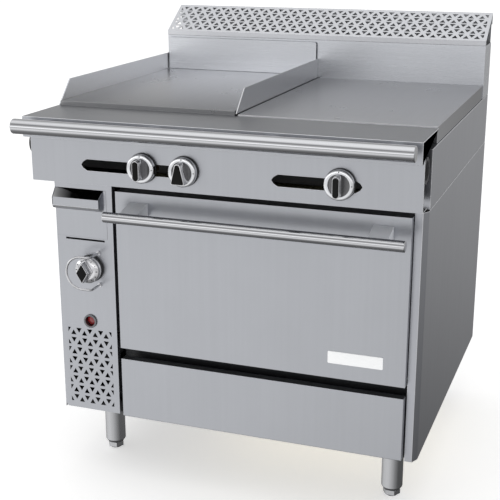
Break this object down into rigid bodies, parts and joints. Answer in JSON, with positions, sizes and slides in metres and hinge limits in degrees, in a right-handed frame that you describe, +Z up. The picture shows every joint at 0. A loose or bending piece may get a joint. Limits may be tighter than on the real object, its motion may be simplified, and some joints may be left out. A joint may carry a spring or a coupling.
{
  "type": "commercial gas range",
  "caption": "Free-standing restaurant gas range: griddle and hot top over a drop-door oven, side service panel, front rail, pierced backguard cap and screw feet.",
  "frame": {"origin": "on the floor, in the middle of the overall width and depth", "axes": "+Z up, the front faces -Y, +X to the right of a person facing the range"},
  "size_m": [0.92, 0.975, 1.104],
  "materials": {
    "front_stainless": "vertical brushed grain, satin",
    "side_stainless": "fine brushed grain, darker satin",
    "ledge_stainless": "long brushed grain, satin",
    "splash_stainless": "bright brushed",
    "cap_stainless": "pale satin, pierced",
    "cooking_plate": "ground steel plate, semi-gloss",
    "polished_steel": "polished",
    "knob_chrome": "satin and polished chrome",
    "black_inlay": "gloss black",
    "bezel": "satin black",
    "red_button": "translucent-looking gloss red",
    "badge": "white satin, blank",
    "leg_steel": "turned satin tube",
    "galvanised": "galvanised sheet",
    "frame_steel": "black painted steel",
    "oven_enamel": "speckled dark enamel",
    "insulation": "mineral wool blanket",
    "gasket": "woven glass-fibre rope",
    "wire": "nickel-plated wire",
    "burner_iron": "raw cast iron",
    "black_pipe": "black iron pipe",
    "brass": "machined brass",
    "control_casing": "die cast"
  },
  "bodies": {
    "range_body": {"base_frame": "frame_steel", "legs": "leg_steel", "body_side_left": "side_stainless", "body_side_right": "side_stainless", "upper_side_left": "side_stainless", "upper_side_right": "side_stainless", "rear_panel": "galvanised", "kick_panel": "front_stainless", "front_ledge": "ledge_stainless", "belly_bar": "polished_steel", "belly_bar_posts": "polished_steel", "control_panel": "front_stainless", "gas_manifold": "black_pipe", "top_gas_valves": "brass", "knob_bezels": "bezel", "griddle_plate": "cooking_plate", "griddle_splash_left": "splash_stainless", "griddle_splash_right": "splash_stainless", "griddle_back_splash": "splash_stainless", "hot_top_plate": "cooking_plate", "burner_box": "frame_steel", "top_burners": "burner_iron", "backguard": "splash_stainless", "backguard_cap": "cap_stainless", "service_panel": "front_stainless", "access_cover": "front_stainless", "oven_thermostat": "control_casing", "wire_guard": "wire", "pilot_button_bezel": "control_casing", "oven_safety_valve": "brass", "oven_front_frame": "oven_enamel", "oven_cavity": "oven_enamel", "oven_insulation": "insulation", "oven_deck": "oven_enamel", "oven_burner": "burner_iron", "flue_duct": "galvanised", "rack_guides": "wire", "oven_racks": "wire", "hinge_receivers": "frame_steel"},
    "oven_door": {"door_outer_panel": "front_stainless", "door_insulation": "insulation", "door_inner_liner": "oven_enamel", "door_gasket": "gasket", "door_hinge_pins": "leg_steel", "door_handle_bar": "polished_steel", "door_handle_brackets": "front_stainless", "door_badge": "badge"},
    "griddle_valve_knob": {"griddle_valve_knob": "knob_chrome", "griddle_valve_knob_inlay": "black_inlay"},
    "griddle_thermostat_knob": {"griddle_thermostat_knob": "knob_chrome", "griddle_thermostat_knob_inlay": "black_inlay"},
    "hot_top_valve_knob": {"hot_top_valve_knob": "knob_chrome", "hot_top_valve_knob_inlay": "black_inlay"},
    "oven_thermostat_knob": {"oven_thermostat_knob": "knob_chrome", "oven_thermostat_knob_inlay": "black_inlay"},
    "pilot_button": {"pilot_button": "red_button"},
    "foot_front_left": {"foot_front_left": "leg_steel"},
    "foot_front_right": {"foot_front_right": "leg_steel"},
    "foot_rear_left": {"foot_rear_left": "leg_steel"},
    "foot_rear_right": {"foot_rear_right": "leg_steel"}
  },
  "joints": [
    {"name": "oven_door_hinge", "type": "hinge", "parent": "range_body", "child": "oven_door", "pos_m": [0.0835, -0.333, 0.371], "axis": [1, 0, 0], "range_deg": [0, 90]},
    {"name": "griddle_valve_turn", "type": "hinge", "parent": "range_body", "child": "griddle_valve_knob", "pos_m": [-0.172, -0.41, 0.815], "axis": [0, -1, 0], "range_deg": [0, 90]},
    {"name": "griddle_thermostat_turn", "type": "hinge", "parent": "range_body", "child": "griddle_thermostat_knob", "pos_m": [-0.072, -0.41, 0.815], "axis": [0, -1, 0], "range_deg": [0, 270]},
    {"name": "hot_top_valve_turn", "type": "hinge", "parent": "range_body", "child": "hot_top_valve_knob", "pos_m": [0.282, -0.41, 0.815], "axis": [0, -1, 0], "range_deg": [0, 90]},
    {"name": "oven_thermostat_turn", "type": "hinge", "parent": "range_body", "child": "oven_thermostat_knob", "pos_m": [-0.343, -0.36, 0.546], "axis": [0, -1, 0], "range_deg": [0, 270]},
    {"name": "pilot_button_press", "type": "slide", "parent": "range_body", "child": "pilot_button", "axis": [0, 1, 0], "range_m": [0, 0.005], "stiffness_N_per_m": 900},
    {"name": "foot_front_left_screw", "type": "hinge", "parent": "range_body", "child": "foot_front_left", "pos_m": [-0.374, -0.1915, 0.06], "axis": [0, 0, 1], "continuous": true},
    {"name": "foot_front_right_screw", "type": "hinge", "parent": "range_body", "child": "foot_front_right", "pos_m": [0.374, -0.1915, 0.06], "axis": [0, 0, 1], "continuous": true},
    {"name": "foot_rear_left_screw", "type": "hinge", "parent": "range_body", "child": "foot_rear_left", "pos_m": [-0.374, 0.4, 0.06], "axis": [0, 0, 1], "continuous": true},
    {"name": "foot_rear_right_screw", "type": "hinge", "parent": "range_body", "child": "foot_rear_right", "pos_m": [0.374, 0.4, 0.06], "axis": [0, 0, 1], "continuous": true}
  ]
}
